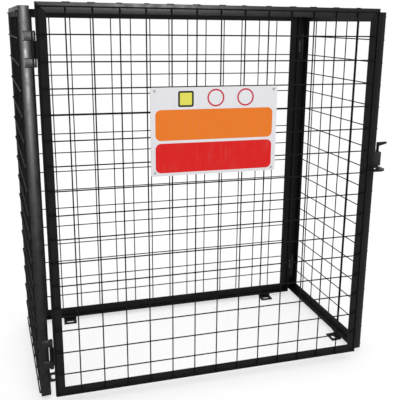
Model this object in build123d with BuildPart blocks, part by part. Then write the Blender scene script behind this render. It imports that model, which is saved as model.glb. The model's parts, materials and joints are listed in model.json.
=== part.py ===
"""Cage for gas cylinders: four welded mesh panels, one of them a gate, hinged at three corners.

Frame: millimetres, +Z up, the gate faces -Y and runs along X.
The origin is on the floor, under the middle of the whole cage.
"""
import os
from math import cos, radians, sin

from build123d import *

os.makedirs("parts", exist_ok=True)

# Angle iron and mesh
angle_leg = 30.0
angle_thickness = 3.0
wire = 4.0
pitch = 75.0
wide_columns = 14
side_columns = 7
mesh_rows = 16

# Panel frames, as margins between the outermost wires and the frame's edges
gate_end_margin = 5.0
gate_foot_margin = 5.0
gate_head_margin = 12.0
back_end_margin = 15.0
side_front_margin = 0.0
side_rear_margin = 18.0
fixed_foot_margin = 10.0
fixed_head_margin = 15.0

# How the panels stand
frame_clearance = 12.0
gate_lift = 18.0
left_lean = 5.5
right_lean = 3.7
side_rear_reach = 38.0

# Hinges
barrel_radius = 6.0
hinge_pin_radius = 3.5
bore_clearance = 0.3
pin_to_edge = 7.5
rear_pin_inset = 34.0
gate_pin_inset = 37.0
gate_pin_ahead = 4.5
leaf_thickness = 3.0
leaf_reach = 26.0
end_knuckle = 25.0
middle_knuckle = 50.0
knuckle_play = 0.5
hinge_from_end = 80.0
pin_head_radius = 5.5
pin_head_height = 2.0

# Floor lugs
lug_thickness = 5.0
lug_width = 49.0
lug_reach = 64.0
lug_step = 25.0
lug_seat = 4.0
lug_slot_length = 31.0
lug_slot_width = 14.0
lug_slot_inset = 15.0
back_lug_from_middle = 425.0
side_lug_from_front = 114.0

# Latch
sleeve_foot = 715.0
sleeve_width = 32.0
sleeve_length = 24.0
sleeve_height = 48.0
sleeve_from_front = 8.0
sleeve_rounding = 4.0
bolt_radius = 5.0
bolt_from_post = 22.0
bolt_travel = 15.0
handle_length = 34.0
handle_root = 14.0
handle_tip = 6.0
handle_thickness = 8.0
handle_lift = 5.0
tongue_thickness = 5.0
tongue_width = 22.0
tongue_drop = 5.0
tongue_front_inset = 8.0
tongue_hole_clearance = 2.0

# Sign plate
sign_width = 400.0
sign_height = 270.0
sign_thickness = 2.0
sign_from_hinge = 313.0
sign_foot = 709.0

# Sizes that follow
mesh_depth = 2 * wire
mesh_height = mesh_rows * pitch
gate_width = wide_columns * pitch + 2 * gate_end_margin
back_width = wide_columns * pitch + 2 * back_end_margin
side_length = side_columns * pitch + side_front_margin + side_rear_margin
gate_height = mesh_height + gate_foot_margin + gate_head_margin
fixed_height = mesh_height + fixed_foot_margin + fixed_head_margin
gate_foot = frame_clearance + gate_lift
hinge_height = 2 * end_knuckle + middle_knuckle


def turned(x, y, angle):
    """Turn a plan point about the vertical by an angle in degrees."""
    c = cos(radians(angle))
    s = sin(radians(angle))
    return c * x - s * y, s * x + c * y


# Plan of the cage, first from the rear pins, then moved so that the origin is in its middle
side_front_y = side_rear_reach - side_length
side_outer = pin_to_edge + angle_leg
left_wire_y = side_rear_reach - side_rear_margin + wire / 2
left_rear_x, _ = turned(-side_outer - mesh_depth, left_wire_y, left_lean)
left_tip_x, left_tip_y = turned(-pin_to_edge, side_front_y, left_lean)
bolt_plan = (side_outer + bolt_from_post, side_front_y + sleeve_from_front + sleeve_length / 2)
bolt_x, bolt_y = turned(*bolt_plan, right_lean)
right_front_x, _ = turned(bolt_plan[0] + handle_length, bolt_plan[1] - handle_thickness / 2, right_lean)
reach_left = back_width / 2 + pin_to_edge - left_rear_x
reach_right = back_width / 2 + pin_to_edge + right_front_x
reach_back = rear_pin_inset + mesh_depth
reach_front = gate_pin_inset + gate_pin_ahead - left_tip_y + mesh_depth + sign_thickness

back_middle_x = (reach_left - reach_right) / 2
rear_pin_y = (reach_front - reach_back) / 2
left_pin_x = back_middle_x - back_width / 2 - pin_to_edge
right_pin_x = back_middle_x + back_width / 2 + pin_to_edge
gate_pin_x = left_pin_x + left_tip_x + pin_to_edge
gate_pin_y = rear_pin_y + left_tip_y - gate_pin_ahead
gate_left_x = gate_pin_x + pin_to_edge
gate_face_y = gate_pin_y - gate_pin_inset
back_face_y = rear_pin_y + rear_pin_inset

left_corner = Location((left_pin_x, rear_pin_y, 0), (0, 0, left_lean))
right_corner = Location((right_pin_x, rear_pin_y, 0), (0, 0, right_lean))

# Each panel's plane lies on its frame's outer face: x along the panel, y up, z outward
gate_plane = Plane(origin=(gate_left_x, gate_face_y, gate_foot), x_dir=(1, 0, 0), z_dir=(0, -1, 0))
back_plane = Plane(
    origin=(back_middle_x + back_width / 2, back_face_y, frame_clearance), x_dir=(-1, 0, 0), z_dir=(0, 1, 0)
)
left_square = Plane(origin=(-side_outer, side_rear_reach, frame_clearance), x_dir=(0, -1, 0), z_dir=(-1, 0, 0))
right_square = Plane(origin=(side_outer, side_front_y, frame_clearance), x_dir=(0, 1, 0), z_dir=(1, 0, 0))
left_plane = Plane(left_corner * left_square.location)
right_plane = Plane(right_corner * right_square.location)


def save(piece, name):
    """Name a finished piece and write it."""
    piece.part.label = name
    export_step(piece.part, f"parts/{name}.step")


def mitred_strip(plane, length, depth):
    """Sketch a strip whose ends are cut at 45 degrees, its long side on the plane's x axis."""
    with BuildSketch(plane) as strip:
        with BuildLine():
            Polyline((0, 0), (length, 0), (length - depth, depth), (depth, depth), close=True)
        make_face()
    return strip.sketch


def angle_bar(plane, length, name):
    """One mitred angle iron bar: a leg in the panel's face and a leg that points inward."""
    with BuildPart() as bar:
        extrude(mitred_strip(plane, length, angle_leg), amount=-angle_thickness)
        extrude(mitred_strip(plane, length, angle_thickness), amount=-angle_leg)
    save(bar, name)


def panel_frame(plane, width, height, names):
    """Four mitred bars; names run from the bottom rail round to the stile at the plane's origin."""
    sides = (
        (Location((0, 0, 0), (0, 0, 0)), width),
        (Location((width, 0, 0), (0, 0, 90)), height),
        (Location((width, height, 0), (0, 0, 180)), width),
        (Location((0, height, 0), (0, 0, 270)), height),
    )
    for (place, length), name in zip(sides, names):
        angle_bar(Plane(plane * place), length, name)


def mesh_sheet(plane, first_column, first_row, columns, name):
    """Welded mesh on the frame's outer face: upright wires inside, level wires outside."""
    width = columns * pitch
    middle = (first_column + width / 2, first_row + mesh_height / 2)
    with BuildPart() as sheet:
        with BuildSketch(plane):
            with Locations(middle):
                with GridLocations(pitch, 0, columns + 1, 1):
                    Rectangle(wire, mesh_height + wire)
        extrude(amount=wire)
        with BuildSketch(plane.offset(wire)):
            with Locations(middle):
                with GridLocations(0, pitch, 1, mesh_rows + 1):
                    Rectangle(width + wire, wire)
        extrude(amount=wire)
    save(sheet, name)


def knuckles(corner, plate_middle, plate_size, levels, height, name):
    """Rolled knuckles round a pin at the corner's origin, each with a flat plate to its panel."""
    with BuildPart() as piece:
        for level in levels:
            with BuildSketch(Plane(corner).offset(level)):
                Circle(barrel_radius)
                with Locations(plate_middle):
                    Rectangle(*plate_size)
                Circle(hinge_pin_radius + bore_clearance, mode=Mode.SUBTRACT)
            extrude(amount=height)
    save(piece, name)


def hinge_pins(corner, feet, name):
    """One headed pin through each hinge of a corner."""
    with BuildPart() as pins:
        for foot in feet:
            with BuildSketch(Plane(corner).offset(foot)):
                Circle(hinge_pin_radius)
            extrude(amount=hinge_height)
            with BuildSketch(Plane(corner).offset(foot + hinge_height)):
                Circle(pin_head_radius)
            extrude(amount=pin_head_height)
    save(pins, name)


def floor_lug(plane, middle, name):
    """Cranked lug under a bottom rail: a flange on the rail, a step down and a slotted foot."""
    side_plane = Plane(
        origin=Plane(plane * Location((middle - lug_width / 2, -frame_clearance, 0))).origin,
        x_dir=-plane.z_dir,
        z_dir=plane.x_dir,
    )
    foot_plane = Plane(
        origin=Plane(plane * Location((middle, -frame_clearance, 0))).origin,
        x_dir=plane.x_dir,
        z_dir=(0, 0, 1),
    )
    with BuildPart() as lug:
        with BuildSketch(side_plane):
            with BuildLine():
                Polyline(
                    (lug_step, 0),
                    (lug_reach, 0),
                    (lug_reach, lug_thickness),
                    (lug_step + lug_thickness, lug_thickness),
                    (lug_step + lug_thickness, frame_clearance),
                    (lug_seat, frame_clearance),
                    (lug_seat, frame_clearance - lug_thickness),
                    (lug_step, frame_clearance - lug_thickness),
                    close=True,
                )
            make_face()
        extrude(amount=lug_width)
        with BuildSketch(foot_plane):
            with Locations((0, lug_reach - lug_slot_inset)):
                SlotOverall(lug_slot_length, lug_slot_width)
        extrude(amount=lug_thickness, mode=Mode.SUBTRACT)
    save(lug, name)


# Gate
panel_frame(
    gate_plane, gate_width, gate_height,
    ("gate_bottom_rail", "gate_latch_stile", "gate_top_rail", "gate_hinge_stile"),
)
mesh_sheet(gate_plane, gate_end_margin, gate_foot_margin, wide_columns, "gate_mesh")

# Back panel
panel_frame(
    back_plane, back_width, fixed_height,
    ("back_bottom_rail", "back_left_stile", "back_top_rail", "back_right_stile"),
)
mesh_sheet(back_plane, back_end_margin, fixed_foot_margin, wide_columns, "back_mesh")

# Left side panel
panel_frame(
    left_plane, side_length, fixed_height,
    ("left_bottom_rail", "left_front_stile", "left_top_rail", "left_rear_stile"),
)
mesh_sheet(left_plane, side_rear_margin, fixed_foot_margin, side_columns, "left_mesh")

# Right side panel
panel_frame(
    right_plane, side_length, fixed_height,
    ("right_bottom_rail", "right_rear_stile", "right_top_rail", "right_front_stile"),
)
mesh_sheet(right_plane, side_front_margin, fixed_foot_margin, side_columns, "right_mesh")

# Hinges: end knuckles on one panel, the middle knuckle on the other, a headed pin through them
fixed_feet = (
    frame_clearance + hinge_from_end,
    frame_clearance + fixed_height - hinge_from_end - hinge_height,
)
gate_feet = (
    gate_foot + hinge_from_end,
    gate_foot + gate_height - hinge_from_end - hinge_height,
)


def end_levels(feet):
    """Feet of the two end knuckles of each hinge."""
    return [foot + step for foot in feet for step in (0, hinge_height - end_knuckle)]


def middle_levels(feet):
    """Feet of the middle knuckles."""
    return [foot + end_knuckle + knuckle_play for foot in feet]


gate_corner = Location((gate_pin_x, gate_pin_y, 0))
gate_post_corner = Location((gate_pin_x, gate_pin_y, 0), (0, 0, left_lean))
right_back_corner = Location((right_pin_x, rear_pin_y, 0))
left_back_corner = Location((left_pin_x, rear_pin_y, 0))
plate_offset = pin_to_edge - leaf_thickness / 2
middle_height = middle_knuckle - 2 * knuckle_play
edge_plate = (leaf_thickness, leaf_reach)
post_plate = (leaf_reach, leaf_thickness)
post_plate_middle = (-leaf_reach / 2, gate_pin_ahead - leaf_thickness / 2)

knuckles(gate_post_corner, post_plate_middle, post_plate, end_levels(gate_feet), end_knuckle, "gate_hinge_knuckles")
knuckles(
    gate_corner, (plate_offset, -leaf_reach / 2), edge_plate, middle_levels(gate_feet), middle_height,
    "gate_hinge_leaves",
)
hinge_pins(gate_corner, gate_feet, "gate_hinge_pins")

rear_plate_middle = leaf_reach / 2
side_plate_size = (leaf_thickness, side_rear_reach)
side_plate_middle = side_rear_reach / 2
knuckles(
    right_back_corner, (-plate_offset, rear_plate_middle), edge_plate, end_levels(fixed_feet), end_knuckle,
    "right_hinge_knuckles",
)
knuckles(
    right_corner, (plate_offset, side_plate_middle), side_plate_size, middle_levels(fixed_feet), middle_height,
    "right_hinge_leaves",
)
hinge_pins(right_back_corner, fixed_feet, "right_hinge_pins")

knuckles(
    left_back_corner, (plate_offset, rear_plate_middle), edge_plate, end_levels(fixed_feet), end_knuckle,
    "left_hinge_knuckles",
)
knuckles(
    left_corner, (-plate_offset, side_plate_middle), side_plate_size, middle_levels(fixed_feet), middle_height,
    "left_hinge_leaves",
)
hinge_pins(left_back_corner, fixed_feet, "left_hinge_pins")

# Floor lugs
floor_lug(back_plane, back_width / 2 + back_lug_from_middle, "back_left_lug")
floor_lug(back_plane, back_width / 2 - back_lug_from_middle, "back_right_lug")
floor_lug(left_plane, side_length - side_lug_from_front, "left_lug")
floor_lug(right_plane, side_lug_from_front, "right_lug")

# Latch: a sleeve on the right post, a bolt that drops through it and a tongue on the gate
sleeve_top = sleeve_foot + sleeve_height
with BuildPart() as latch_sleeve:
    with BuildSketch(Plane(right_corner).offset(sleeve_foot)):
        with Locations((side_outer, bolt_plan[1])):
            Rectangle(sleeve_width, sleeve_length, align=(Align.MIN, Align.CENTER))
    extrude(amount=sleeve_height)
    outer_edges = latch_sleeve.edges().filter_by(Axis.Z).sort_by(Axis.X)[-2:]
    fillet(outer_edges, sleeve_rounding)
    with BuildSketch(Plane(right_corner).offset(sleeve_foot)):
        with Locations(bolt_plan):
            Circle(bolt_radius + bore_clearance)
    extrude(amount=sleeve_height, mode=Mode.SUBTRACT)
save(latch_sleeve, "latch_sleeve")

handle_foot = sleeve_top + handle_lift + bolt_travel
with BuildPart() as latch_bolt:
    with BuildSketch(Plane(right_corner).offset(sleeve_foot)):
        with Locations(bolt_plan):
            Circle(bolt_radius)
    extrude(amount=handle_foot + handle_root - sleeve_foot)
    handle_square = Plane(
        origin=(bolt_plan[0], bolt_plan[1] + handle_thickness / 2, handle_foot), x_dir=(1, 0, 0), z_dir=(0, -1, 0)
    )
    with BuildSketch(Plane(right_corner * handle_square.location)):
        with BuildLine():
            Polyline(
                (0, 0),
                (handle_length, handle_root - handle_tip),
                (handle_length, handle_root),
                (0, handle_root),
                close=True,
            )
        make_face()
    extrude(amount=handle_thickness)
save(latch_bolt, "latch_bolt")

gate_right_x = gate_left_x + gate_width
hole_x = right_pin_x + bolt_x
hole_y = rear_pin_y + bolt_y
tongue_foot = sleeve_foot - tongue_drop - tongue_thickness
tongue_front_y = gate_face_y + tongue_front_inset
with BuildPart() as latch_tongue:
    with BuildSketch(Plane.XY.offset(tongue_foot)):
        with BuildLine():
            Polyline(
                (gate_right_x, tongue_front_y),
                (hole_x + tongue_width / 2, tongue_front_y),
                (hole_x + tongue_width / 2, hole_y + tongue_width / 2),
                (hole_x - tongue_width / 2, hole_y + tongue_width / 2),
                (hole_x - tongue_width / 2, tongue_front_y + tongue_width),
                (gate_right_x, tongue_front_y + tongue_width),
                close=True,
            )
        make_face()
        with Locations((hole_x, hole_y)):
            Circle(bolt_radius + tongue_hole_clearance, mode=Mode.SUBTRACT)
    extrude(amount=tongue_thickness)
save(latch_tongue, "latch_tongue")

# Sign plate on the gate's mesh
sign_middle = (sign_from_hinge + sign_width / 2, sign_foot + sign_height / 2)
with BuildPart() as sign_plate:
    with BuildSketch(gate_plane.offset(mesh_depth)):
        with Locations(sign_middle):
            Rectangle(sign_width, sign_height)
    extrude(amount=sign_thickness)
save(sign_plate, "sign_plate")
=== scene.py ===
"""Looks of the gas cylinder cage: welded wire, edged angle iron, weld beads, sign board and paint.

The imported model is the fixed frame, in metres: +Z up, the gate faces -Y and runs along X.
"""
import json
import math
from typing import NamedTuple

import bpy
from bpy.props import FloatProperty, FloatVectorProperty, IntProperty, PointerProperty
from mathutils import Matrix, Vector


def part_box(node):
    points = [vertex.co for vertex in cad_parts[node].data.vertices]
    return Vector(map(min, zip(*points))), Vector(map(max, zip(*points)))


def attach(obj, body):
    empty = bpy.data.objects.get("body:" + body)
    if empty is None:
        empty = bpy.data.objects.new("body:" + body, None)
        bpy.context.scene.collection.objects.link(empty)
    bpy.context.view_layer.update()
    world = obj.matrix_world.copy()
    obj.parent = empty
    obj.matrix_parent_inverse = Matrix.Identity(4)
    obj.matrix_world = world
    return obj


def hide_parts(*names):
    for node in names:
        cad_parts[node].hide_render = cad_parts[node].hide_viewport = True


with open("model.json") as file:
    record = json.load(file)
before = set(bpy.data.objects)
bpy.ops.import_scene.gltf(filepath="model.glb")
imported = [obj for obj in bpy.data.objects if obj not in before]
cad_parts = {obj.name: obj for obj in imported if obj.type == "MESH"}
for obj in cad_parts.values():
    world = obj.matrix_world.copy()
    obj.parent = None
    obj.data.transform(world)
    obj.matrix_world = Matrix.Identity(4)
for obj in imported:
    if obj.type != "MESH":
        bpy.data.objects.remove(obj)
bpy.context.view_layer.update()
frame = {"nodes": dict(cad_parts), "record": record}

bl_info = {
    "name": "Gas Cylinder Cage",
    "version": (1, 0, 0),
    "blender": (4, 5, 0),
    "location": "View3D > Sidebar > Cage",
    "description": "Builds the wire, welds, sign board, paint and studio of a gas cylinder cage",
    "category": "Object",
}

MM = 0.001
ROOT_BODY = "standing_panels"

# Panels, with the sizes of the solids
PITCH = 75 * MM
ROWS = 16
WIDE_COLUMNS = 14
SIDE_COLUMNS = 7
LEFT_LEAN = 5.5
RIGHT_LEAN = 3.7
LEG = 30 * MM
STEEL = 3 * MM
PIN_TO_EDGE = 7.5 * MM
REAR_REACH = 38 * MM
SIDE_LENGTH = 543 * MM
SIDE_REAR_MARGIN = 18 * MM

# Wires and tacks, with their turned-in ends, rim and tack side as parts of the radius
WIRE_END_INSET = 0.28
WIRE_END_DROP = 0.3
WIRE_RIM = 0.9
WIRE_OVERLAP = 0.2 * MM
CROSS_WELD_HEIGHT = 2.2 * MM
CROSS_WELD_TURN = 0.4
TACK_WIDTH = 7 * MM
TACK_HEIGHT = 2.4 * MM
TACK_STRETCH = (0.7, 1.25, 1, 1)
TACK_SIDE = 0.9
TACK_SEAT = 0.4 * MM
TACK_OVER_FIRST_ROW = 9 * MM
TACK_UNDER_LAST_ROW = 8 * MM

# Weld beads; the wander is a part of the ripple step, swell and end are parts of the bead's size
NUGGET_SIDES = 8
NUGGET_RINGS = 4
BEAD_RINGS = 6
BEAD_WANDER = 0.12
BEAD_SWELL = 0.10
BEAD_END = 0.8
BEAD_START_GAP = 1 * MM
BEAD_END_GAP = 2 * MM
FLAT_ENOUGH = 0.9
FINE_BEAD = (4 * MM, 2.2 * MM)
STITCH_REACH = 8 * MM
STITCH_CHANGE = 2 * MM
STITCH_WANDER = 4 * MM
STITCH_DEPTH = 1.5 * MM
STITCH_FACING = (0, 1, 0.6)

# Angles in degrees up to which faces are shaded smooth, and from which edges are rounded
SMOOTH_WIRE = 40
SMOOTH_STEEL = 35
SMOOTH_BEAD = 60
ROUND_BAR = 35
ROUND_PART = 50
ROUND_PLATE = 60

# Edge rounding of the small steel parts
HINGE_EDGE = 0.6 * MM
LUG_EDGE = 1.2 * MM
SLEEVE_EDGE = 2.2 * MM
BOLT_EDGE = 1.0 * MM
TONGUE_EDGE = 0.8 * MM
TONGUE_CORNER = 30 * MM
CORNER_REACH = 1 * MM
CORNER_STEPS = 10
MERGE_REACH = 0.01 * MM
MERGE_ANGLE = 1

# Hinges
PIN_HEAD = 2 * MM
HINGE_HEIGHT = 100 * MM
KNUCKLE_HEIGHT = 25 * MM
KNUCKLE_GAP = 0.5 * MM
# Part, lean, and its weld line's start, end and facing, in millimetres from the pin
HINGE_WELDS = {
    "gate": (
        ("knuckles", LEFT_LEAN, (-26, 4.5), (-7, 4.5), (0, -1)),
        ("leaves", 0.0, (7.5, -26), (7.5, -7), (-1, 0)),
    ),
    "right": (
        ("knuckles", 0.0, (-7.5, 7), (-7.5, 26), (1, 0)),
        ("leaves", RIGHT_LEAN, (7.5, 7), (7.5, 36), (-1, 0)),
    ),
    "left": (
        ("knuckles", 0.0, (7.5, 7), (7.5, 26), (-1, 0)),
        ("leaves", LEFT_LEAN, (-7.5, 7), (-7.5, 36), (1, 0)),
    ),
}

# Lugs and latch
LUG_HALF = 24.5 * MM
LUG_WELD_START = 6 * MM
LUG_WELD_END = 29 * MM
LUG_WELD_FACING = (0, -0.3, -1)
BACK_LUG_OFFSET = 425 * MM
SIDE_LUG_OFFSET = 114 * MM
SLEEVE_NEAR = 8 * MM
SLEEVE_FAR = 32 * MM
TONGUE_WELD = 21 * MM

# Sign board
BOARD_BACK = 7.7 * MM
BOARD_FRONT = 9.1 * MM
BOARD_EDGE = 0.4 * MM
FILM_SINK = 0.05 * MM
BAND_MARGINS = 28 * MM
PLATE_CORNER_STEPS = 8
RING_SIDES = 64
RIVET_SIDES = 20
RIVET_RADIUS = 4 * MM
RIVET_HEIGHT = 0.8 * MM
RIVET_WASHER = 0.45
RIVET_BRIM = 0.30
RIVET_RISE = 0.35
RIVET_DOME_INSET = 0.2
RIVET_DOME_RISES = (0.15, 0.05)
RIVET_SINK = 0.02 * MM
RIVET_FROM_SIDE = 12 * MM
RIVET_FROM_TOP = 10 * MM
# Name, depth of the middle below the top and height, as parts of the board's height, and finish
SIGN_BANDS = (
    ("sign_upper_band", 0.42, 0.347, "sign_upper_film"),
    ("sign_lower_band", 0.795, 0.339, "sign_lower_film"),
)
# Name, place across and up, size, corner radius and rim in millimetres, film layers and finish
SIGN_SHAPES = (
    ("sign_square_edge", -92.6, 100, 48, 6, 0, 1, "sign_dark_film"),
    ("sign_square", -92.6, 100, 37, 2, 0, 2, "sign_marker_film"),
    ("sign_left_ring", 0.7, 102, 54, 26.9, 5, 1, "sign_ring_film"),
    ("sign_right_ring", 95.5, 102, 54, 26.9, 5, 1, "sign_ring_film"),
)

# Studio
SENSOR_WIDTH = 36
FLOOR_DEPTH = 1 * MM
FLOOR_PARTS = 8
FLOOR_TONES = (0.41, 0.43)
FLOOR_GLOW = 0.57
FLOOR_ROUGHNESS = 0.9
FLOOR_SPECULAR = 0.1
# Name, place, aim, size and power of each soft lamp
LAMPS = (
    ("key_light", (-2.6, -3.2, 3.4), (0, 0, 0.6), 2.2, 10),
    ("fill_light", (3.0, -1.6, 2.2), (0, 0, 0.6), 2.4, 6),
    ("back_light", (0.6, 3.2, 3.0), (0, 0, 0.6), 2.2, 6),
    ("top_light", (0, -1.3, 3.2), (0, -1.0, 0), 2.8, 22),
)
# Name, place, aim, width and height, power and lit pieces of each strip lamp
STRIP_LAMPS = (
    (
        "rail_sheen", (0.0, -3.9, 1.34), (-0.25, -0.3, 1.24), (1.1, 0.3), 400,
        ("gate_top_rail_steel",),
    ),
    (
        "corner_sheen", (-0.1, -3.9, 1.55), (-0.6, -0.3, 1.1), (0.4, 0.5), 760,
        ("left_front_stile_steel", "gate_hinge_knuckles_steel", "gate_hinge_knuckles_welds"),
    ),
)


def length_setting(name, description, default):
    """A setting that is a length."""
    return FloatProperty(name=name, description=description, default=default, unit="LENGTH")


def colour_setting(name, description, red, green, blue):
    """A setting that is an opaque colour."""
    return FloatVectorProperty(
        name=name, description=description, subtype="COLOR", size=4, default=(red, green, blue, 1)
    )


class CageWireSettings(bpy.types.PropertyGroup):
    """Sizes of the welded wire."""

    diameter: length_setting("Wire diameter", "Diameter of each mesh wire", 4 * MM)
    sides: IntProperty(name="Wire sides", description="Sides of each round wire", default=12, min=6)
    weld_width: length_setting("Cross weld width", "Width of the weld where two wires cross", 4.6 * MM)


class CageSteelSettings(bpy.types.PropertyGroup):
    """Edge rounding and weld beads of the angle iron."""

    edge: length_setting("Edge rounding", "Rounding of rolled and cut steel edges", 0.8 * MM)
    bead_width: length_setting("Bead width", "Width of a weld bead", 5 * MM)
    bead_height: length_setting("Bead height", "Height of a weld bead", 1.4 * MM)
    ripple: length_setting("Ripple step", "Distance between the ripples of a bead", 2.2 * MM)


class CageSignSettings(bpy.types.PropertyGroup):
    """Sizes and colours of the sign board."""

    corner: length_setting("Board corner", "Corner radius of the board", 4 * MM)
    band_corner: length_setting("Band corner", "Corner radius of the coloured bands", 17 * MM)
    film: length_setting("Film thickness", "Thickness of the coloured film", 0.2 * MM)
    board: colour_setting("Board", "Colour of the board", 0.66, 0.66, 0.685)
    upper: colour_setting("Upper band", "Colour of the upper band", 0.70, 0.165, 0.010)
    lower: colour_setting("Lower band", "Colour of the lower band", 0.60, 0.005, 0.004)
    marker: colour_setting("Marker", "Colour of the square marker", 0.66, 0.62, 0.09)
    ring: colour_setting("Ring", "Colour of the two rings", 0.50, 0.030, 0.05)
    dark: colour_setting("Dark film", "Colour of the dark film", 0.012, 0.012, 0.01)


class CagePaintSettings(bpy.types.PropertyGroup):
    """The powder coat of the steel."""

    coat: colour_setting("Coat", "Colour of the powder coat", 0.0035, 0.0034, 0.0034)
    latch_coat: colour_setting("Latch coat", "Colour of the latch's paint", 0.022, 0.022, 0.022)
    rivet_coat: colour_setting("Rivet coat", "Colour of the rivets' metal", 0.42, 0.42, 0.43)
    dust: colour_setting("Dust", "Colour of dust and rubbed paint", 0.035, 0.033, 0.031)


class CageStageSettings(bpy.types.PropertyGroup):
    """Camera and floor."""

    eye: FloatVectorProperty(
        name="Camera place", description="Where the camera stands", subtype="TRANSLATION", size=3,
        default=(-0.5101, -1.9855, 1.1959),
    )
    turn: FloatVectorProperty(
        name="Camera turn", description="Rotation of the camera", subtype="EULER", size=3,
        default=(math.radians(76.575), math.radians(-0.7235), math.radians(-15.780)),
    )
    lens: FloatProperty(name="Lens", description="Focal length in millimetres", default=52.285)
    shift_x: FloatProperty(name="Shift X", description="Sideways shift of the view", default=-0.0290)
    shift_y: FloatProperty(name="Shift Y", description="Upright shift of the view", default=-0.0959)
    floor_size: length_setting("Floor size", "Width of the floor", 120.0)


class Panel(NamedTuple):
    """One panel: its outer face, its first wires and the body that carries it."""

    matrix: Matrix
    width: float
    height: float
    first_column: float
    first_row: float
    columns: int
    body: str


def deselect():
    """Leave object mode with nothing selected."""
    if bpy.context.mode != "OBJECT":
        bpy.ops.object.mode_set(mode="OBJECT")
    bpy.ops.object.select_all(action="DESELECT")


def make_active(piece):
    """Select one object alone and make it active."""
    deselect()
    piece.hide_set(False)
    piece.select_set(True)
    bpy.context.view_layer.objects.active = piece


def settle(piece):
    """Put a piece's place into its mesh."""
    piece.data.transform(piece.matrix_world)
    piece.matrix_world = Matrix.Identity(4)


def copies(piece, places):
    """Copy a piece, each copy with its own mesh moved by a matrix, and delete the first."""
    made = []
    for place in places:
        twin = piece.copy()
        twin.data = piece.data.copy()
        twin.data.transform(place)
        bpy.context.collection.objects.link(twin)
        made.append(twin)
    bpy.data.objects.remove(piece)
    return made


def join(parts, name):
    """Join objects into one that is named after the piece."""
    deselect()
    for part in parts:
        part.select_set(True)
    bpy.context.view_layer.objects.active = parts[0]
    bpy.ops.object.join()
    joined = bpy.context.view_layer.objects.active
    joined.name = name
    joined.data.name = name
    return joined


def smooth(piece, angle):
    """Shade a piece smooth up to an angle in degrees."""
    make_active(piece)
    bpy.ops.object.shade_smooth_by_angle(angle=math.radians(angle))


def round_edges(piece, width, segments, angle):
    """Round a piece's edges that turn by more than an angle in degrees."""
    make_active(piece)
    bevel = piece.modifiers.new("rounding", "BEVEL")
    bevel.width = width
    bevel.segments = segments
    bevel.limit_method = "ANGLE"
    bevel.angle_limit = math.radians(angle)
    bpy.ops.object.modifier_apply(modifier=bevel.name)


def finish_piece(piece, body, material, replaced=()):
    """Give a piece its material and body, and hide the nodes that it stands for."""
    piece.data.materials.clear()
    piece.data.materials.append(material)
    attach(piece, body)
    if replaced:
        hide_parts(*replaced)


def body_of_node(node):
    """The body that carries a node of the frame."""
    for body, members in frame["record"]["behaviour"]["bodies"].items():
        if node in members:
            return body
    raise RuntimeError(f"no body carries {node}")


def centre_of(node):
    """The middle of a node's box."""
    low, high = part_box(node)
    return (low + high) / 2


def panel_matrix(origin, heading):
    """Frame of a panel's outer face: X along the panel, Y up, Z outward."""
    h = math.radians(heading)
    along = Vector((math.cos(h), math.sin(h), 0))
    up = Vector((0, 0, 1))
    outward = along.cross(up)
    matrix = Matrix((along, up, outward)).transposed().to_4x4()
    matrix.translation = origin
    return matrix


def side_matrix(hinge_node, lean, right):
    """Frame of a side panel, worked out from the middle of a rear hinge node and its lean.

    Known fault: the knuckles, which the callers name, have their middle 10 mm behind the pins.
    With the pins instead, the side panels' wires and welds would lie on the solids.
    """
    pin = centre_of(hinge_node)
    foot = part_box("back_bottom_rail")[0].z
    turn = Matrix.Rotation(math.radians(lean), 4, "Z")
    outer = PIN_TO_EDGE + LEG
    if right:
        corner = turn @ Vector((outer, REAR_REACH - SIDE_LENGTH, 0))
        heading = 90 + lean
    else:
        corner = turn @ Vector((-outer, REAR_REACH, 0))
        heading = -90 + lean
    return panel_matrix(Vector((pin.x + corner.x, pin.y + corner.y, foot)), heading)


def panels():
    """The four panels, measured on the frame's own boxes."""
    gate_low, gate_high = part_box("gate_bottom_rail")
    gate_wire_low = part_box("gate_mesh")[0]
    back_low, back_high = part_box("back_bottom_rail")
    back_wire_low, back_wire_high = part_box("back_mesh")
    half = bpy.context.scene.cage_wire.diameter / 2
    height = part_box("back_top_rail")[1].z - back_low.z
    row = back_wire_low.z + half - back_low.z
    return {
        "gate": Panel(
            matrix=panel_matrix(gate_low, 0),
            width=gate_high.x - gate_low.x,
            height=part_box("gate_top_rail")[1].z - gate_low.z,
            first_column=gate_wire_low.x + half - gate_low.x,
            first_row=gate_wire_low.z + half - gate_low.z,
            columns=WIDE_COLUMNS,
            body="gate",
        ),
        "back": Panel(
            matrix=panel_matrix(Vector((back_high.x, back_high.y, back_low.z)), 180),
            width=back_high.x - back_low.x,
            height=height,
            first_column=back_high.x - (back_wire_high.x - half),
            first_row=row,
            columns=WIDE_COLUMNS,
            body=ROOT_BODY,
        ),
        "left": Panel(
            matrix=side_matrix("left_hinge_knuckles", LEFT_LEAN, right=False),
            width=SIDE_LENGTH,
            height=height,
            first_column=SIDE_REAR_MARGIN,
            first_row=row,
            columns=SIDE_COLUMNS,
            body=ROOT_BODY,
        ),
        "right": Panel(
            matrix=side_matrix("right_hinge_knuckles", RIGHT_LEAN, right=True),
            width=SIDE_LENGTH,
            height=height,
            first_column=0.0,
            first_row=row,
            columns=SIDE_COLUMNS,
            body="right_side",
        ),
    }


def end_faces(piece):
    """Go into edit mode with the faces that look along Z selected."""
    make_active(piece)
    bpy.ops.object.mode_set(mode="EDIT")
    bpy.ops.mesh.select_mode(type="FACE")
    bpy.ops.mesh.select_all(action="DESELECT")
    bpy.ops.object.mode_set(mode="OBJECT")
    for face in piece.data.polygons:
        face.select = abs(face.normal.z) > FLAT_ENOUGH
    bpy.ops.object.mode_set(mode="EDIT")


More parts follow.
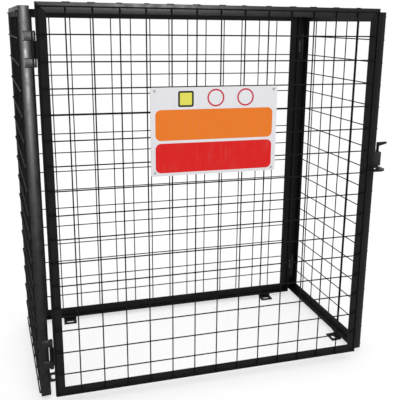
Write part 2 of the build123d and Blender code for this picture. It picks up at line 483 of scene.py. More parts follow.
def wire_primitive(reach, radius, sides, name):
    """One straight wire along Z with turned-in ends, its foot at the origin."""
    deselect()
    bpy.ops.mesh.primitive_cylinder_add(
        vertices=sides, radius=radius, depth=reach, end_fill_type="NGON", location=(0, 0, reach / 2)
    )
    piece = bpy.context.active_object
    piece.name = name
    settle(piece)
    end_faces(piece)
    bpy.ops.mesh.inset(thickness=radius * WIRE_END_INSET, depth=0)
    bpy.ops.object.mode_set(mode="OBJECT")
    drop = radius * WIRE_END_DROP
    for vertex in piece.data.vertices:
        if math.hypot(vertex.co.x, vertex.co.y) > radius * WIRE_RIM:
            vertex.co.z += drop if vertex.co.z < reach / 2 else -drop
    return piece


def weld_nugget(width, height, name, rings=NUGGET_RINGS):
    """A low round weld: a ball pressed flat, its base at the origin and its crown along Z."""
    deselect()
    bpy.ops.mesh.primitive_uv_sphere_add(segments=NUGGET_SIDES, ring_count=rings, radius=0.5)
    piece = bpy.context.active_object
    piece.name = name
    make_active(piece)
    bpy.ops.object.mode_set(mode="EDIT")
    bpy.ops.mesh.select_all(action="SELECT")
    bpy.ops.transform.resize(value=(width, width, height))
    bpy.ops.object.mode_set(mode="OBJECT")
    settle(piece)
    return piece


def axes_matrix(origin, x_axis, z_axis):
    """A place whose Z axis points one way and whose X axis leans towards another."""
    z = Vector(z_axis).normalized()
    x = Vector(x_axis).normalized()
    y = z.cross(x).normalized()
    x = y.cross(z).normalized()
    matrix = Matrix((x, y, z)).transposed().to_4x4()
    matrix.translation = origin
    return matrix


def bead_places(start, end, outward):
    """Places of a weld bead's ripples; the sines keep ripples and beads from being alike."""
    start = Vector(start)
    end = Vector(end)
    run = end - start
    step = bpy.context.scene.cage_steel.ripple
    count = max(2, int(run.length / step))
    along = run.normalized()
    side = Vector(outward).cross(along).normalized()
    places = []
    for index in range(count + 1):
        wander = math.sin(index * 1.9 + start.x * 37 + start.z * 11) * step * BEAD_WANDER
        swell = 1 + BEAD_SWELL * math.sin(index * 0.83 + start.y * 53 + end.z * 7)
        if index in (0, count):
            swell *= BEAD_END
        place = axes_matrix(start + run * index / count + side * wander, along, outward)
        places.append(place @ Matrix.Diagonal((1.0, swell, swell, 1)))
    return places


def lay_beads(places, name, body, paint, matrix, size=None):
    """Weld beads as one piece: a ripple at each place, in a panel's or corner's frame."""
    steel = bpy.context.scene.cage_steel
    width, height = size or (steel.bead_width, 2 * steel.bead_height)
    ripple = weld_nugget(width, height, f"{name}_ripple", BEAD_RINGS)
    beads = join(copies(ripple, places), name)
    beads.data.transform(matrix)
    smooth(beads, SMOOTH_BEAD)
    finish_piece(beads, body, paint)


def frame_tacks(panel, radius):
    """Small tack welds beside the upright wires where they lie on the rails."""
    tack = weld_nugget(TACK_WIDTH, TACK_HEIGHT, "rail_tack")
    low = panel.first_row + TACK_OVER_FIRST_ROW
    high = panel.first_row + ROWS * PITCH - TACK_UNDER_LAST_ROW
    places = []
    for column in range(panel.columns + 1):
        x = panel.first_column + column * PITCH
        if x < LEG * 0.5 or x > panel.width - LEG * 0.5:
            continue
        for y in (low, high):
            side = 1 if math.sin(column * 2.3 + y * 5) > 0 else -1
            place = Matrix.Translation((x + side * radius * TACK_SIDE, y, TACK_SEAT))
            places.append(place @ Matrix.Diagonal(TACK_STRETCH))
    return copies(tack, places)


def build_mesh_sheet(panel_name, panel, paint):
    """Welded wire of one panel: round wires, a nugget at each crossing and tacks on the frame."""
    wire = bpy.context.scene.cage_wire
    radius = wire.diameter / 2
    columns = [panel.first_column + column * PITCH for column in range(panel.columns + 1)]
    rows = [panel.first_row + row * PITCH for row in range(ROWS + 1)]
    stand = Matrix.Rotation(math.radians(-90), 4, "X")
    upright = wire_primitive(rows[-1] - rows[0] + wire.diameter, radius, wire.sides, "upright_wire")
    parts = copies(upright, [
        Matrix.Translation((x, rows[0] - radius, radius)) @ stand for x in columns
    ])
    lay = Matrix.Rotation(math.radians(90), 4, "Y")
    level_depth = 3 * radius - WIRE_OVERLAP
    level = wire_primitive(columns[-1] - columns[0] + wire.diameter, radius, wire.sides, "level_wire")
    parts += copies(level, [
        Matrix.Translation((columns[0] - radius, y, level_depth)) @ lay for y in rows
    ])
    crossings = []
    for column, x in enumerate(columns):
        for row, y in enumerate(rows):
            turn = CROSS_WELD_TURN * math.sin(column * 3.1 + row * 1.7)
            crossings.append(Matrix.Translation((x, y, wire.diameter)) @ Matrix.Rotation(turn, 4, "Z"))
    parts += copies(weld_nugget(wire.weld_width, CROSS_WELD_HEIGHT, "cross_weld"), crossings)
    parts += frame_tacks(panel, radius)
    sheet = join(parts, f"{panel_name}_wires")
    sheet.data.transform(panel.matrix)
    smooth(sheet, SMOOTH_WIRE)
    finish_piece(sheet, panel.body, paint, (f"{panel_name}_mesh",))


def cut_corner(piece, corner):
    """Round one upright corner of the piece in edit mode, given by its X and Y."""
    bpy.ops.mesh.select_mode(type="VERT")
    bpy.ops.mesh.select_all(action="DESELECT")
    bpy.ops.object.mode_set(mode="OBJECT")
    for vertex in piece.data.vertices:
        place = piece.matrix_world @ vertex.co
        vertex.select = math.hypot(place.x - corner[0], place.y - corner[1]) < CORNER_REACH
    bpy.ops.object.mode_set(mode="EDIT")
    bpy.ops.mesh.bevel(offset=TONGUE_CORNER, segments=CORNER_STEPS, affect="EDGES")


def build_steel(node, edge, paint, segments=2, angle=ROUND_PART, corner=None):
    """One CAD node with its faces merged and its edges rounded, on the node's own body."""
    source = frame["nodes"][node]
    piece = source.copy()
    piece.data = source.data.copy()
    piece.animation_data_clear()
    bpy.context.collection.objects.link(piece)
    make_active(piece)
    bpy.ops.object.mode_set(mode="EDIT")
    bpy.ops.mesh.select_all(action="SELECT")
    bpy.ops.mesh.remove_doubles(threshold=MERGE_REACH)
    bpy.ops.mesh.dissolve_limited(angle_limit=math.radians(MERGE_ANGLE))
    if corner:
        cut_corner(piece, corner)
    round_edges(piece, edge, segments, angle)
    piece.name = f"{node}_steel"
    piece.data.name = piece.name
    smooth(piece, SMOOTH_STEEL)
    finish_piece(piece, body_of_node(node), paint, (node,))


def stitch_places(panel):
    """Short stitch welds over the uprights along a panel's top edge."""
    places = []
    for column in range(1, panel.columns):
        middle = panel.first_column + column * PITCH + STITCH_WANDER * math.sin(column * 2.1)
        reach = STITCH_REACH + STITCH_CHANGE * math.sin(column * 1.3)
        start = (middle - reach, panel.height, -STITCH_DEPTH)
        end = (middle + reach, panel.height, -STITCH_DEPTH)
        places += bead_places(start, end, STITCH_FACING)
    return places


def build_frame(panel_name, panel, paint):
    """The four angle bars of a panel with rounded edges and their mitre welds."""
    stiles = {
        "back": ("left_stile", "right_stile"),
        "gate": ("hinge_stile", "latch_stile"),
    }.get(panel_name, ("front_stile", "rear_stile"))
    for bar in ("bottom_rail", "top_rail") + stiles:
        edge = bpy.context.scene.cage_steel.edge
        build_steel(f"{panel_name}_{bar}", edge, paint, angle=ROUND_BAR)
    places = []
    near = STEEL + BEAD_START_GAP
    far = LEG - BEAD_END_GAP
    for x, sx in ((0, 1), (panel.width, -1)):
        for y, sy in ((0, 1), (panel.height, -1)):
            flat_start = (x + sx * near, y + sy * near, -STEEL)
            flat_end = (x + sx * far, y + sy * far, -STEEL)
            places += bead_places(flat_start, flat_end, (0, 0, -1))
            deep_start = (x + sx * STEEL, y + sy * STEEL, -near)
            deep_end = (x + sx * STEEL, y + sy * STEEL, -far)
            places += bead_places(deep_start, deep_end, (sx, sy, 0))
    if panel_name == "gate":
        places += stitch_places(panel)
    lay_beads(places, f"{panel_name}_mitre_welds", panel.body, paint, panel.matrix)


def hinge_levels(pin_node):
    """Foot and top of the end knuckles and of the middle knuckles, from the pins' box."""
    low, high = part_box(pin_node)
    ends = []
    middles = []
    for foot in (low.z, high.z - PIN_HEAD - HINGE_HEIGHT):
        top = foot + HINGE_HEIGHT
        ends += [(foot, foot + KNUCKLE_HEIGHT), (top - KNUCKLE_HEIGHT, top)]
        middles.append((foot + KNUCKLE_HEIGHT + KNUCKLE_GAP, top - KNUCKLE_HEIGHT - KNUCKLE_GAP))
    return {"knuckles": ends, "leaves": middles}


def plate_beads(levels, line_start, line_end, facing):
    """Beads along the lower and upper edges of flat plates, over a line in millimetres."""
    places = []
    for foot, top in levels:
        for z, up in ((foot, -1), (top, 1)):
            start = (line_start[0] * MM, line_start[1] * MM, z)
            end = (line_end[0] * MM, line_end[1] * MM, z)
            places += bead_places(start, end, (facing[0], facing[1], up))
    return places


def build_hinge(corner, paint):
    """One corner's hinges: rounded knuckles, leaves and pins, with their weld beads."""
    pins = f"{corner}_hinge_pins"
    for part in ("knuckles", "leaves", "pins"):
        build_steel(f"{corner}_hinge_{part}", HINGE_EDGE, paint)
    levels = hinge_levels(pins)
    pin = centre_of(pins)
    place = Matrix.Translation((pin.x, pin.y, 0))
    for part, lean, start, end, facing in HINGE_WELDS[corner]:
        node = f"{corner}_hinge_{part}"
        beads = plate_beads(levels[part], start, end, facing)
        turned = place @ Matrix.Rotation(math.radians(lean), 4, "Z")
        lay_beads(beads, f"{node}_welds", body_of_node(node), paint, turned, FINE_BEAD)


def build_lug(node, panel, middle, paint):
    """A floor lug with rounded edges and weld beads under the rail."""
    build_steel(node, LUG_EDGE, paint)
    places = bead_places((middle - LUG_HALF, 0, -LEG), (middle + LUG_HALF, 0, -LEG), LUG_WELD_FACING)
    for side in (-1, 1):
        x = middle + side * LUG_HALF
        places += bead_places((x, 0, -LUG_WELD_START), (x, 0, -LUG_WELD_END), (side, -1, 0))
    lay_beads(places, f"{node}_welds", body_of_node(node), paint, panel.matrix)


def build_latch(right, latch_paint, paint):
    """Sleeve, bolt and tongue with rounded edges and weld beads."""
    tongue_low, tongue_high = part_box("latch_tongue")
    outer_corner = (tongue_high.x, tongue_low.y)
    build_steel("latch_sleeve", SLEEVE_EDGE, latch_paint, segments=3)
    build_steel("latch_bolt", BOLT_EDGE, paint, segments=3)
    build_steel("latch_tongue", TONGUE_EDGE, paint, segments=3, corner=outer_corner)

    low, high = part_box("latch_sleeve")
    foot = low.z - right.matrix.translation.z
    top = high.z - right.matrix.translation.z
    places = []
    for x, side in ((SLEEVE_NEAR, -1), (SLEEVE_FAR, 1)):
        places += bead_places((x, foot + BEAD_START_GAP, 0), (x, top - BEAD_START_GAP, 0), (side, 0, 1))
    for y, side in ((foot, -1), (top, 1)):
        places += bead_places((SLEEVE_NEAR, y, 0), (SLEEVE_FAR, y, 0), (0, side, 1))
    lay_beads(places, "latch_sleeve_welds", right.body, paint, right.matrix)

    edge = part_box("gate_bottom_rail")[1].x
    places = []
    for z, side in ((tongue_low.z, -1), (tongue_high.z, 1)):
        start = (edge, tongue_low.y + BEAD_START_GAP, z)
        end = (edge, tongue_low.y + TONGUE_WELD, z)
        places += bead_places(start, end, (1, 0, side))
    lay_beads(places, "latch_tongue_welds", "gate", paint, Matrix.Identity(4), FINE_BEAD)


def thicken(piece, depth):
    """Extrude the flat piece in edit mode along Z and go back to object mode."""
    bpy.ops.mesh.select_all(action="SELECT")
    bpy.ops.mesh.extrude_region_move(TRANSFORM_OT_translate={"value": (0, 0, depth)})
    bpy.ops.mesh.select_all(action="SELECT")
    bpy.ops.mesh.normals_make_consistent(inside=False)
    bpy.ops.object.mode_set(mode="OBJECT")
    settle(piece)


def rounded_plate(width, height, depth, corner, name):
    """A flat plate with round corners, centred on its back face, front along Z."""
    deselect()
    bpy.ops.mesh.primitive_plane_add(size=1)
    piece = bpy.context.active_object
    piece.name = name
    make_active(piece)
    bpy.ops.object.mode_set(mode="EDIT")
    bpy.ops.mesh.select_all(action="SELECT")
    bpy.ops.transform.resize(value=(width, height, 1))
    bpy.ops.mesh.bevel(
        offset=corner, offset_type="OFFSET", segments=PLATE_CORNER_STEPS, affect="VERTICES"
    )
    thicken(piece, depth)
    return piece


def ring_plate(size, depth, rim, name):
    """A flat ring, its back at the origin and its front along Z."""
    deselect()
    bpy.ops.mesh.primitive_circle_add(vertices=RING_SIDES, radius=size / 2, fill_type="NGON")
    piece = bpy.context.active_object
    piece.name = name
    make_active(piece)
    bpy.ops.object.mode_set(mode="EDIT")
    bpy.ops.mesh.select_mode(type="FACE")
    bpy.ops.mesh.select_all(action="SELECT")
    bpy.ops.mesh.inset(thickness=rim, depth=0)
    bpy.ops.mesh.delete(type="FACE")
    thicken(piece, depth)
    return piece


def rivet(radius, height, name):
    """A domed rivet head on a thin washer, its base at the origin and its crown along Z."""
    deselect()
    washer = height * RIVET_WASHER
    bpy.ops.mesh.primitive_cylinder_add(vertices=RIVET_SIDES, radius=radius, depth=washer)
    piece = bpy.context.active_object
    piece.name = name
    piece.location = (0, 0, washer / 2)
    bpy.ops.object.transform_apply(location=True)
    make_active(piece)
    for face in piece.data.polygons:
        face.select = face.normal.z > FLAT_ENOUGH
    bpy.ops.object.mode_set(mode="EDIT")
    bpy.ops.mesh.select_mode(type="FACE")
    bpy.ops.mesh.inset(thickness=radius * RIVET_BRIM, depth=0)
    bpy.ops.mesh.extrude_region_move(TRANSFORM_OT_translate={"value": (0, 0, height * RIVET_RISE)})
    for rise in RIVET_DOME_RISES:
        bpy.ops.mesh.inset(thickness=radius * RIVET_DOME_INSET, depth=height * rise)
    bpy.ops.object.mode_set(mode="OBJECT")
    return piece


def place_sign_piece(piece, matrix, material, replaced=()):
    """Move a piece of the sign to its place and finish it."""
    piece.data.transform(matrix)
    smooth(piece, SMOOTH_STEEL)
    finish_piece(piece, "gate", material, replaced)


def build_sign(gate, materials):
    """The sign board: bare coloured bands, plain shapes and four rivets."""
    sign = bpy.context.scene.cage_sign
    low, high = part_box("sign_plate")
    width = high.x - low.x
    height = high.z - low.z
    centre = Vector(((low.x + high.x) / 2, gate.matrix.translation.y, (low.z + high.z) / 2))
    middle = gate.matrix.inverted() @ centre
    seat = gate.matrix @ Matrix.Translation((middle.x, middle.y, 0))

    board = rounded_plate(width, height, BOARD_FRONT - BOARD_BACK, sign.corner, "sign_board")
    round_edges(board, BOARD_EDGE, 2, ROUND_PLATE)
    place = seat @ Matrix.Translation((0, 0, BOARD_BACK))
    place_sign_piece(board, place, materials["sign_board"], ("sign_plate",))

    film_back = BOARD_FRONT - FILM_SINK
    for name, down, part, finish in SIGN_BANDS:
        band = rounded_plate(width - BAND_MARGINS, height * part, sign.film, sign.band_corner, name)
        place = seat @ Matrix.Translation((0, height * (0.5 - down), film_back))
        place_sign_piece(band, place, materials[finish])

    for name, across, up, size, corner, rim, layers, finish in SIGN_SHAPES:
        film = sign.film * layers
        if rim:
            shape = ring_plate(size * MM, film, rim * MM, name)
        else:
            shape = rounded_plate(size * MM, size * MM, film, corner * MM, name)
        place = seat @ Matrix.Translation((across * MM, up * MM, film_back))
        place_sign_piece(shape, place, materials[finish])

    x = width / 2 - RIVET_FROM_SIDE
    y = height / 2 - RIVET_FROM_TOP
    places = [
        Matrix.Translation((sx * x, sy * y, BOARD_FRONT - RIVET_SINK)) for sx in (-1, 1) for sy in (-1, 1)
    ]
    heads = join(copies(rivet(RIVET_RADIUS, RIVET_HEIGHT, "rivet"), places), "sign_rivets")
    place_sign_piece(heads, seat, materials["rivet_metal"])


def feed(tree, socket, value):
    """Set a socket to a number, or link another socket to it."""
    if isinstance(value, bpy.types.NodeSocket):
        tree.links.new(value, socket)
    else:
        socket.default_value = value


def surface_group(name, inputs):
    """A shader node group with the given inputs that gives colour, roughness and normal."""
    group = bpy.data.node_groups.new(name, "ShaderNodeTree")
    for label, kind, default in inputs:
        socket = group.interface.new_socket(name=label, in_out="INPUT", socket_type=kind)
        socket.default_value = default
    for label, kind in (("Colour", "Color"), ("Roughness", "Float"), ("Normal", "Vector")):
        group.interface.new_socket(name=label, in_out="OUTPUT", socket_type=f"NodeSocket{kind}")
    entry = group.nodes.new("NodeGroupInput").outputs
    result = group.nodes.new("NodeGroupOutput").inputs
    return group, entry, result


def noise(tree, source, scale, detail, rough=0.5):
    """The value of a noise texture on the given coordinates."""
    node = tree.nodes.new("ShaderNodeTexNoise")
    node.inputs["Scale"].default_value = scale
    node.inputs["Detail"].default_value = detail
    node.inputs["Roughness"].default_value = rough
    tree.links.new(source, node.inputs["Vector"])
    return node.outputs["Fac"]


def remap(tree, source, before, after):
    """A clamped change of range; the ends of the new range are numbers or sockets."""
    node = tree.nodes.new("ShaderNodeMapRange")
    ends = zip(("From Min", "From Max", "To Min", "To Max"), (*before, *after))
    for label, end in ends:
        feed(tree, node.inputs[label], end)
    tree.links.new(source, node.inputs["Value"])
    return node.outputs["Result"]


def blend_colours(tree, factor, first, second):
    """Mix two colour sockets."""
    node = tree.nodes.new("ShaderNodeMix")
    node.data_type = "RGBA"
    tree.links.new(factor, node.inputs["Factor"])
    tree.links.new(first, node.inputs["A"])
    tree.links.new(second, node.inputs["B"])
    return node.outputs["Result"]


def product(tree, first, second):
    """Multiply two value sockets."""
    node = tree.nodes.new("ShaderNodeMath")
    node.operation = "MULTIPLY"
    tree.links.new(first, node.inputs[0])
    tree.links.new(second, node.inputs[1])
    return node.outputs["Value"]


def fine_bump(tree, height, strength, distance):
    """A normal raised by a height socket; the distance is a number or a socket."""
    node = tree.nodes.new("ShaderNodeBump")
    node.inputs["Strength"].default_value = strength
    feed(tree, node.inputs["Distance"], distance)
    tree.links.new(height, node.inputs["Height"])
    return node.outputs["Normal"]


def powder_coat_group():
    """Powder coat: fine orange peel, slight shade changes and settled dust."""
    group, entry, result = surface_group(
        "powder_coat_surface",
        (
            ("Coat", "NodeSocketColor", (0.01, 0.01, 0.01, 1)),
            ("Dust", "NodeSocketColor", (0.1, 0.1, 0.1, 1)),
            ("Dust Amount", "NodeSocketFloat", 0.3),
            ("Gloss Low", "NodeSocketFloat", 0.32),
            ("Gloss High", "NodeSocketFloat", 0.46),
            ("Peel Depth", "NodeSocketFloat", 0.06 * MM),
        ),
    )
    place = group.nodes.new("ShaderNodeTexCoord").outputs["Object"]
    broad = noise(group, place, scale=3.5, detail=3)
    cloudy = noise(group, place, scale=38, detail=5, rough=0.6)
    fine = noise(group, place, scale=950, detail=2)

    toned = group.nodes.new("ShaderNodeVectorMath")
    toned.operation = "SCALE"
    group.links.new(entry["Coat"], toned.inputs[0])
    shade = remap(group, cloudy, (0.3, 0.7), (0.82, 1.22))
    group.links.new(shade, toned.inputs["Scale"])

    turned_up = group.nodes.new("ShaderNodeSeparateXYZ")
    geometry = group.nodes.new("ShaderNodeNewGeometry")
    group.links.new(geometry.outputs["Normal"], turned_up.inputs[0])
    lying = remap(group, turned_up.outputs["Z"], (0.35, 0.95), (0.08, 1.0))
    patches = remap(group, broad, (0.42, 0.68), (0.15, 1.0))
    grains = remap(group, cloudy, (0.40, 0.72), (0.1, 1.0))
    dusty = product(group, product(group, lying, patches), product(group, grains, entry["Dust Amount"]))
    colour = blend_colours(group, dusty, toned.outputs["Vector"], entry["Dust"])
    group.links.new(colour, result["Colour"])

    rough = group.nodes.new("ShaderNodeMath")
    rough.operation = "MULTIPLY_ADD"
    rough.use_clamp = True
    rough.inputs[1].default_value = 0.35
    group.links.new(dusty, rough.inputs[0])
    gloss = remap(group, cloudy, (0.3, 0.7), (entry["Gloss Low"], entry["Gloss High"]))
    group.links.new(gloss, rough.inputs[2])
    group.links.new(rough.outputs["Value"], result["Roughness"])
    group.links.new(fine_bump(group, fine, 0.55, entry["Peel Depth"]), result["Normal"])
    return group


def film_group():
    """Printed film or board: faint mottling, fine scuffs and a few pale runs of dust."""
    group, entry, result = surface_group(
        "sign_film_surface",
        (
            ("Film", "NodeSocketColor", (0.8, 0.8, 0.8, 1)),
            ("Grime", "NodeSocketColor", (0.35, 0.33, 0.30, 1)),
            ("Grime Amount", "NodeSocketFloat", 0.15),
        ),
    )
    place = group.nodes.new("ShaderNodeTexCoord").outputs["Object"]
    stretch = group.nodes.new("ShaderNodeMapping")
    stretch.inputs["Scale"].default_value = (1, 1, 0.18)
    group.links.new(place, stretch.inputs["Vector"])
    runs = noise(group, stretch.outputs["Vector"], scale=90, detail=4, rough=0.6)
    patches = noise(group, place, scale=14, detail=3)
    fine = noise(group, place, scale=1400, detail=2)
    streaks = remap(group, runs, (0.48, 0.78), (0.0, 1.0))
    areas = remap(group, patches, (0.35, 0.75), (0.1, 1.0))
    grime = product(group, product(group, streaks, areas), entry["Grime Amount"])
    group.links.new(blend_colours(group, grime, entry["Film"], entry["Grime"]), result["Colour"])
    group.links.new(remap(group, patches, (0.3, 0.7), (0.26, 0.38)), result["Roughness"])
    group.links.new(fine_bump(group, fine, 0.25, 0.03 * MM), result["Normal"])
    return group


def surface_material(name, group, values, specular, metallic=0.0):
    """A material whose colour, roughness and normal come from a surface group."""
    material = bpy.data.materials.new(name)
    material.use_nodes = True
    tree = material.node_tree
    shader = tree.nodes["Principled BSDF"]
    surface = tree.nodes.new("ShaderNodeGroup")
    surface.node_tree = group
    for label, value in values.items():
        surface.inputs[label].default_value = value
    tree.links.new(surface.outputs["Colour"], shader.inputs["Base Color"])
    tree.links.new(surface.outputs["Roughness"], shader.inputs["Roughness"])
    tree.links.new(surface.outputs["Normal"], shader.inputs["Normal"])
    shader.inputs["Specular IOR Level"].default_value = specular
    shader.inputs["Metallic"].default_value = metallic
    return material


def cage_materials():
    """Every finish of the cage, made once."""
    paint = bpy.context.scene.cage_paint
    sign = bpy.context.scene.cage_sign
    # Colour, dust amount, least and most roughness, specular level and metal
    coats = {
        "frame_powder_coat": (paint.coat, 0.3, 0.38, 0.52, 0.15, 0.0),
        "mesh_powder_coat": (paint.coat, 0.3, 0.50, 0.62, 0.07, 0.0),
        "latch_coat": (paint.latch_coat, 0.3, 0.38, 0.55, 0.2, 0.0),
        "rivet_metal": (paint.rivet_coat, 0.2, 0.25, 0.45, 0.5, 1.0),
    }
    films = {
        "sign_board": sign.board, "sign_upper_film": sign.upper, "sign_lower_film": sign.lower,
        "sign_marker_film": sign.marker, "sign_ring_film": sign.ring, "sign_dark_film": sign.dark,
    }
    if "frame_powder_coat" in bpy.data.materials:
        return {name: bpy.data.materials[name] for name in (*coats, *films)}
    made = {}
    coat_surface = powder_coat_group()
    for name, (colour, dust, gloss_low, gloss_high, specular, metallic) in coats.items():
        values = {
            "Coat": tuple(colour), "Dust": tuple(paint.dust), "Dust Amount": dust,
            "Gloss Low": gloss_low, "Gloss High": gloss_high,
        }
        made[name] = surface_material(name, coat_surface, values, specular, metallic)
    film_surface = film_group()
    for name, colour in films.items():
        made[name] = surface_material(name, film_surface, {"Film": tuple(colour)}, specular=0.2)
    return made


def place_camera(context):
    """Put the camera where the photograph was taken from."""
    stage = context.scene.cage_stage
    camera = bpy.data.cameras.new("view_camera")
    camera.lens = stage.lens
    camera.sensor_width = SENSOR_WIDTH
    camera.shift_x = stage.shift_x
    camera.shift_y = stage.shift_y
    holder = bpy.data.objects.new("view_camera", camera)
    context.collection.objects.link(holder)
    holder.location = stage.eye
    holder.rotation_euler = stage.turn
    context.scene.camera = holder


def light_backdrop(context):
    """An even white backdrop."""
    world = context.scene.world or bpy.data.worlds.new("studio")
    context.scene.world = world
    world.use_nodes = True
    nodes = world.node_tree.nodes
    sky = nodes.get("Background") or nodes.new("ShaderNodeBackground")
    sky.inputs["Color"].default_value = (1, 1, 1, 1)
    sky.inputs["Strength"].default_value = 1.0


def soft_light(name, place, aim, size, power):
    """A large square lamp that looks at a point."""
    lamp = bpy.data.lights.new(name, "AREA")
    lamp.shape = "SQUARE"
    lamp.size = size
    lamp.energy = power
    holder = bpy.data.objects.new(name, lamp)
    bpy.context.collection.objects.link(holder)
    holder.location = place
    holder.rotation_euler = (Vector(aim) - Vector(place)).to_track_quat("-Z", "Y").to_euler()
    return holder


def sheen_light(name, place, aim, size, power, pieces):
    """A strip lamp that only draws a reflection on some pieces."""
    holder = soft_light(name, place, aim, size[0], power)
    holder.data.shape = "RECTANGLE"
    holder.data.size_y = size[1]
    holder.visible_diffuse = False
    lit = bpy.data.collections.new(f"{name}_pieces")
    for piece in pieces:
        lit.objects.link(bpy.data.objects[piece])
    holder.light_linking.receiver_collection = lit


def lay_floor(context):
    """A pale floor with a glow of its own, so that it meets the backdrop."""
    deselect()
    bpy.ops.mesh.primitive_grid_add(
        x_subdivisions=FLOOR_PARTS, y_subdivisions=FLOOR_PARTS, size=context.scene.cage_stage.floor_size
    )
    floor = context.active_object
    floor.name = "studio_floor"
    floor.location = (0, 0, -FLOOR_DEPTH)
    bpy.ops.object.transform_apply(location=True)
    pale = bpy.data.materials.new("pale_floor")
    pale.use_nodes = True
    tree = pale.node_tree
    shader = tree.nodes["Principled BSDF"].inputs
    place = tree.nodes.new("ShaderNodeTexCoord").outputs["Object"]
    tone = remap(tree, noise(tree, place, scale=1.2, detail=2), (0.3, 0.7), FLOOR_TONES)
    tree.links.new(tone, shader["Base Color"])
    shader["Specular IOR Level"].default_value = FLOOR_SPECULAR
    shader["Roughness"].default_value = FLOOR_ROUGHNESS
    shader["Emission Color"].default_value = (1, 1, 1, 1)
    shader["Emission Strength"].default_value = FLOOR_GLOW
    floor.data.materials.append(pale)


class CAGE_OT_wire(bpy.types.Operator):
    """Build the welded wire of the four panels"""

    bl_idname = "cage.wire"
    bl_label = "Build welded wire"

    def execute(self, context):
        paint = cage_materials()["mesh_powder_coat"]
        for name, panel in panels().items():
            build_mesh_sheet(name, panel, paint)
        return {"FINISHED"}


class CAGE_OT_frames(bpy.types.Operator):
    """Round the angle iron of the four panels and weld its mitres"""

    bl_idname = "cage.frames"
    bl_label = "Build panel frames"

    def execute(self, context):
        paint = cage_materials()["frame_powder_coat"]
        for name, panel in panels().items():
            build_frame(name, panel, paint)
        return {"FINISHED"}


class CAGE_OT_hinges(bpy.types.Operator):
    """Round the hinges of the three corners and weld their leaves"""

    bl_idname = "cage.hinges"
    bl_label = "Build hinges"

    def execute(self, context):
        paint = cage_materials()["frame_powder_coat"]
        for corner in HINGE_WELDS:
            build_hinge(corner, paint)
        return {"FINISHED"}


class CAGE_OT_lugs(bpy.types.Operator):
    """Round the floor lugs and weld them to the rails"""

    bl_idname = "cage.lugs"
    bl_label = "Build floor lugs"

    def execute(self, context):
        paint = cage_materials()["frame_powder_coat"]
        every = panels()
        back_middle = every["back"].width / 2
        build_lug("back_left_lug", every["back"], back_middle + BACK_LUG_OFFSET, paint)
        build_lug("back_right_lug", every["back"], back_middle - BACK_LUG_OFFSET, paint)
        build_lug("left_lug", every["left"], SIDE_LENGTH - SIDE_LUG_OFFSET, paint)
        build_lug("right_lug", every["right"], SIDE_LUG_OFFSET, paint)
        return {"FINISHED"}


class CAGE_OT_latch(bpy.types.Operator):
    """Round the latch's sleeve, bolt and tongue and weld them on"""

    bl_idname = "cage.latch"
    bl_label = "Build latch"

    def execute(self, context):
        made = cage_materials()
        build_latch(panels()["right"], made["latch_coat"], made["frame_powder_coat"])
        return {"FINISHED"}


class CAGE_OT_sign(bpy.types.Operator):
    """Build the sign board with its bare bands, plain shapes and rivets"""

    bl_idname = "cage.sign"
    bl_label = "Build sign board"

    def execute(self, context):
        build_sign(panels()["gate"], cage_materials())
        return {"FINISHED"}


class CAGE_OT_stage(bpy.types.Operator):
    """Set up the camera, the backdrop, the lamps and the floor"""

    bl_idname = "cage.stage"
    bl_label = "Set up stage"

    def execute(self, context):
        place_camera(context)
        light_backdrop(context)
        for lamp in LAMPS:
            soft_light(*lamp)
        for lamp in STRIP_LAMPS:
            sheen_light(*lamp)
        lay_floor(context)
        context.scene.view_settings.view_transform = "Standard"
        context.scene.view_settings.look = "None"
        return {"FINISHED"}


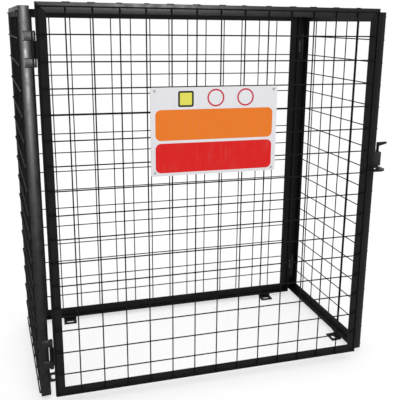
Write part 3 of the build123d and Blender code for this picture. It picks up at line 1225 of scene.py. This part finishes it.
class CAGE_PT_panel(bpy.types.Panel):
    """Sizes, colours and builders of the gas cylinder cage"""

    bl_label = "Gas Cylinder Cage"
    bl_idname = "CAGE_PT_panel"
    bl_space_type = "VIEW_3D"
    bl_region_type = "UI"
    bl_category = "Cage"

    def draw(self, context):
        layout = self.layout
        scene = context.scene
        groups = (
            ("Welded wire", scene.cage_wire, ("diameter", "sides", "weld_width"), ("cage.wire",)),
            (
                "Steel", scene.cage_steel, ("edge", "bead_width", "bead_height", "ripple"),
                ("cage.frames", "cage.hinges", "cage.lugs", "cage.latch"),
            ),
            (
                "Sign board", scene.cage_sign,
                ("corner", "band_corner", "film", "board", "upper", "lower", "marker", "ring", "dark"),
                ("cage.sign",),
            ),
            ("Paint", scene.cage_paint, ("coat", "latch_coat", "rivet_coat", "dust"), ()),
            (
                "Stage", scene.cage_stage, ("eye", "turn", "lens", "shift_x", "shift_y", "floor_size"),
                ("cage.stage",),
            ),
        )
        for title, holder, names, builders in groups:
            box = layout.box()
            box.label(text=title)
            for name in names:
                box.prop(holder, name)
            for builder in builders:
                box.operator(builder)


CLASSES = (
    CageWireSettings,
    CageSteelSettings,
    CageSignSettings,
    CagePaintSettings,
    CageStageSettings,
    CAGE_OT_wire,
    CAGE_OT_frames,
    CAGE_OT_hinges,
    CAGE_OT_lugs,
    CAGE_OT_latch,
    CAGE_OT_sign,
    CAGE_OT_stage,
    CAGE_PT_panel,
)


def register():
    """Register the classes and the scene's settings."""
    for item in CLASSES:
        bpy.utils.register_class(item)
    bpy.types.Scene.cage_wire = PointerProperty(type=CageWireSettings)
    bpy.types.Scene.cage_steel = PointerProperty(type=CageSteelSettings)
    bpy.types.Scene.cage_sign = PointerProperty(type=CageSignSettings)
    bpy.types.Scene.cage_paint = PointerProperty(type=CagePaintSettings)
    bpy.types.Scene.cage_stage = PointerProperty(type=CageStageSettings)


def unregister():
    """Remove the settings and the classes."""
    for name in ("cage_wire", "cage_steel", "cage_sign", "cage_paint", "cage_stage"):
        delattr(bpy.types.Scene, name)
    for item in reversed(CLASSES):
        bpy.utils.unregister_class(item)


def main():
    """Build every piece and the stage."""
    register()
    bpy.ops.cage.wire()
    bpy.ops.cage.frames()
    bpy.ops.cage.hinges()
    bpy.ops.cage.lugs()
    bpy.ops.cage.latch()
    bpy.ops.cage.sign()
    bpy.ops.cage.stage()


if __name__ == "__main__":
    main()
